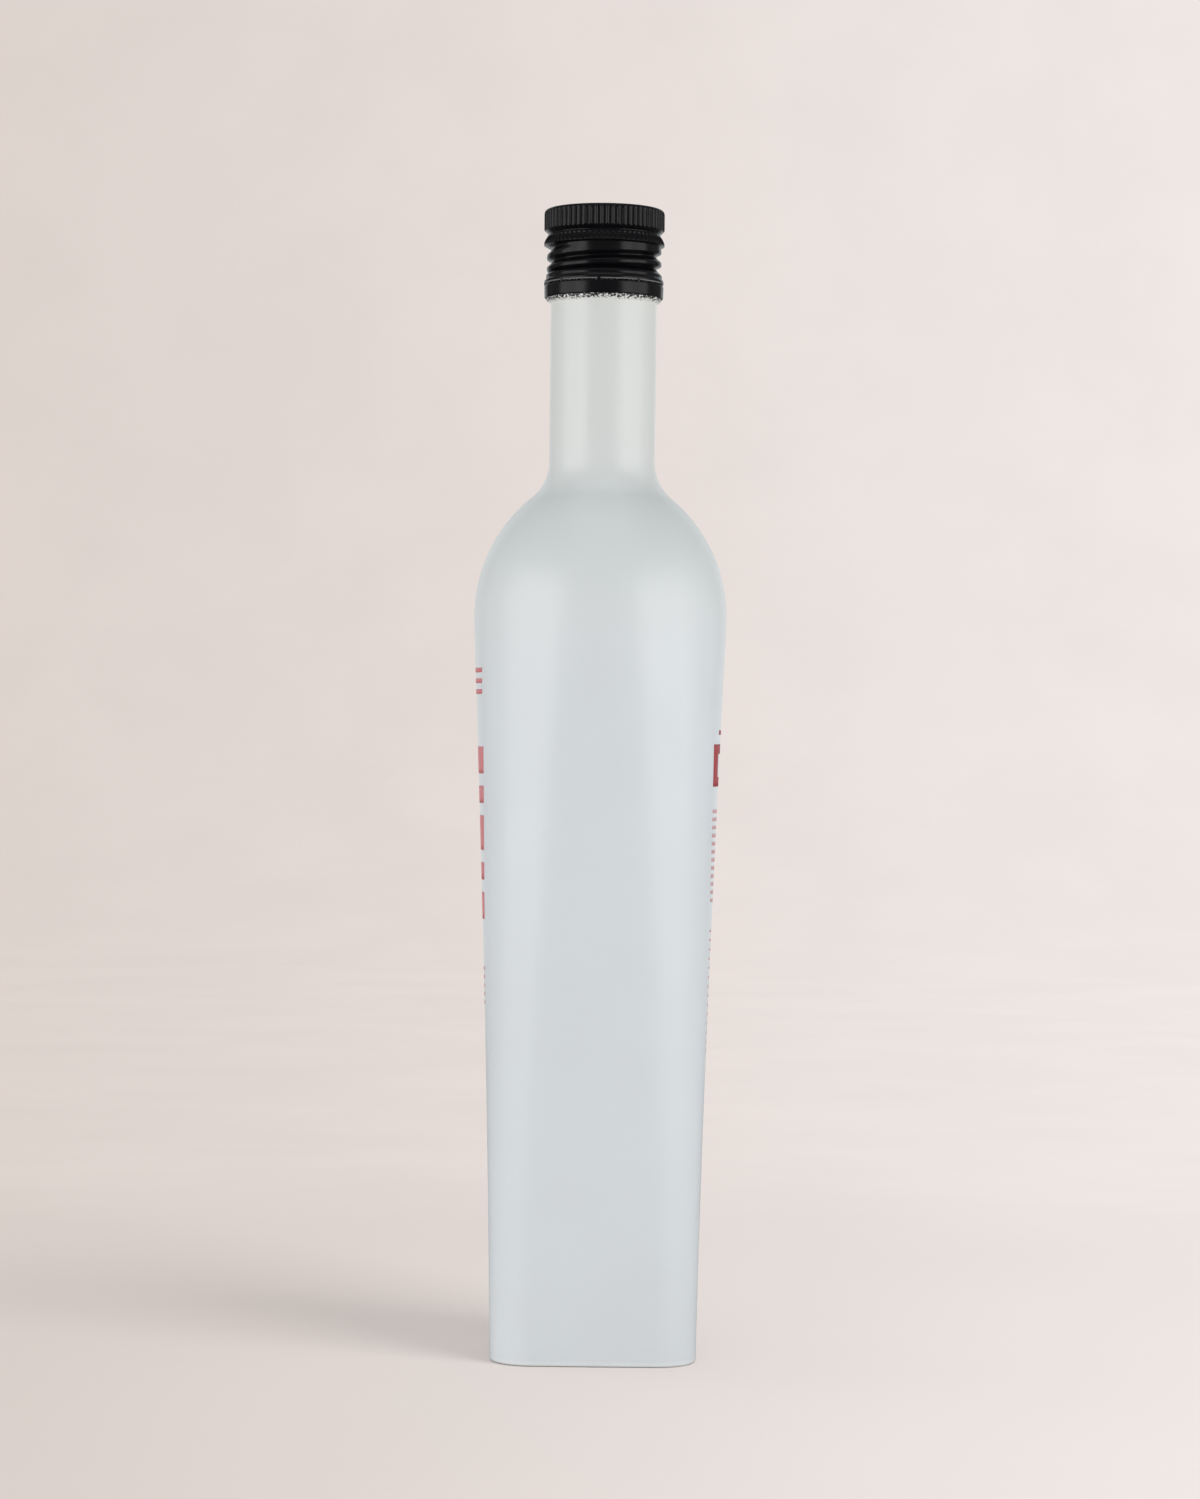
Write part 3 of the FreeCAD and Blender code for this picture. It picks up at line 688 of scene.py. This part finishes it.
def warm_paper():
    """Paper that glows in its own colour to the camera, and near the object takes real shadow.

    Its colour goes from darker on the left to lighter on the right, a painted fall-off of light, and fans
    out to the back, as X over the distance from the fan point in front of the bottle.  To reflections it is
    dim.
    """
    material, tree, shader = new_material("warm_paper")
    where = add_node(tree, "ShaderNodeTexCoord").outputs["Object"]
    axes = add_node(tree, "ShaderNodeSeparateXYZ", {"Vector": where}).outputs
    depth = add_node(tree, "ShaderNodeMath", {0: axes["Y"], 1: FALLOFF_FAN_POINT}, operation="ADD").outputs[0]
    spread = add_node(tree, "ShaderNodeMath", {0: depth, 1: FALLOFF_FAN_LEAST}, operation="MAXIMUM").outputs[0]
    fan = add_node(tree, "ShaderNodeMath", {0: axes["X"], 1: spread}, operation="DIVIDE").outputs[0]
    # painted fall-off of light across the paper: darker to the left, lighter to the right, widening to the
    # back
    colour = mixed(tree, fade(tree, fan, -FALLOFF_FAN_HALF, FALLOFF_FAN_HALF), PAPER_PAINTED_SHADE_LEFT, PAPER_PAINTED_LIGHT_RIGHT)
    blotch = fade(tree, noise(tree, 9.0, 5.0, 0.6), 0.3, 0.7, 0.985, 1.015)
    glow = add_node(tree, "ShaderNodeEmission", {"Color": colour, "Strength": blotch})
    tree.links.new(colour, shader.inputs["Base Color"])
    shader.inputs["Roughness"].default_value = 0.9
    shader.inputs["Specular IOR Level"].default_value = 0.1
    flat = add_node(tree, "ShaderNodeVectorMath", {0: where, 1: (1, 1, 0)}, operation="MULTIPLY").outputs[0]
    apart = add_node(tree, "ShaderNodeVectorMath", {0: flat}, operation="LENGTH").outputs["Value"]
    share = fade(tree, apart, SHADED_NEAR, SHADED_FAR, SHADED_GLOW, 1.0)
    path = add_node(tree, "ShaderNodeLightPath").outputs
    paper = add_node(tree, "ShaderNodeMixShader", {
        0: product(tree, share, path["Is Camera Ray"]), 1: shader.outputs[0], 2: glow.outputs[0]})
    dim = add_node(tree, "ShaderNodeEmission", {"Color": colour, "Strength": REFLECTED_GLOW})
    paper = add_node(tree, "ShaderNodeMixShader", {
        0: path["Is Glossy Ray"], 1: paper.outputs[0], 2: dim.outputs[0]})
    tree.links.new(paper.outputs[0], tree.nodes["Material Output"].inputs["Surface"])
    return material


sweep = put_mesh("paper_sweep", *paper_sweep(), warm_paper())

world = bpy.data.worlds.new("studio")
world.use_nodes = True
sky = world.node_tree.nodes["Background"]
sky.inputs["Color"].default_value = SKY
sky.inputs["Strength"].default_value = SKY_STRENGTH
bpy.context.scene.world = world


def softbox(name, place, aim, size, power, colour=(1, 1, 1)):
    """Flat lamp at a place in metres, turned to its aim, not seen by the camera."""
    lamp = bpy.data.lights.new(name, "AREA")
    lamp.shape = "RECTANGLE"
    lamp.size, lamp.size_y = size
    lamp.energy = power
    lamp.color = colour
    holder = bpy.data.objects.new(name, lamp)
    holder.location = place
    holder.rotation_euler = (Vector(aim) - Vector(place)).to_track_quat("-Z", "Y").to_euler()
    holder.visible_camera = False
    bpy.context.collection.objects.link(holder)
    return holder


SIDE_HEIGHT = 0.42
object_lamps = [
    softbox("back_panel", (0, 1.0, 0.30), (0, 0, 0.20), (1.4, 1.3), 4.0, (0.92, 0.98, 1.0)),
    softbox("top_panel", (0, -0.15, 1.20), (0, 0, 0.20), (0.8, 0.8), 1.4),
]
for name, side, power in (("left", -1, 1.04), ("right", 1, 0.97)):
    aim = (0, 0, SIDE_HEIGHT)
    wide_place, narrow_place = (1.08 * side, -0.53, SIDE_HEIGHT), (0.86 * side, -0.84, SIDE_HEIGHT)
    object_lamps += [
        softbox(name + "_wide", wide_place, aim, (1.3, 0.84), 7.2 * power),
        softbox(name + "_narrow", narrow_place, aim, (0.45, 0.84), 0.9 * power),
    ]
floor_lamps = [
    softbox("shadow_lamp", (0.66, -0.58, 1.35), (0, 0, 0.05), (0.62, 0.62), 9.4),
    softbox("floor_lamp", (-0.15, 0.10, 1.50), (-0.1, 0, 0), (1.8, 1.8), 15.0),
]
for lamps, name, state in (
        (object_lamps, "all_but_paper", "EXCLUDE"),
        (floor_lamps, "paper_only", "INCLUDE")):
    lit = bpy.data.collections.new(name)
    lit.objects.link(sweep)
    lit.collection_objects[0].light_linking.link_state = state
    for lamp in lamps:
        lamp.light_linking.receiver_collection = lit

# ---------------------------------------------------------------------------------------------
# Camera.  A metre from the bottle's axis and a little over its middle, looking very slightly
# down.  It is rolled a little, so that the bottle leans to the right.
# ---------------------------------------------------------------------------------------------

EYE = (0.00027, -1.0, 0.1633)
LOOK_DOWN = math.radians(0.288)
ROLL = math.radians(0.612)
FOCAL_LENGTH = 91.3

lens = bpy.data.cameras.new("camera")
lens.lens = FOCAL_LENGTH
camera = bpy.data.objects.new("camera", lens)
camera.location = EYE
level = Matrix.Rotation(math.pi / 2 - LOOK_DOWN, 4, "X")
camera.rotation_euler = (level @ Matrix.Rotation(ROLL, 4, "Z")).to_euler()
bpy.context.collection.objects.link(camera)
bpy.context.scene.camera = camera
bpy.context.scene.view_settings.view_transform = "Standard"
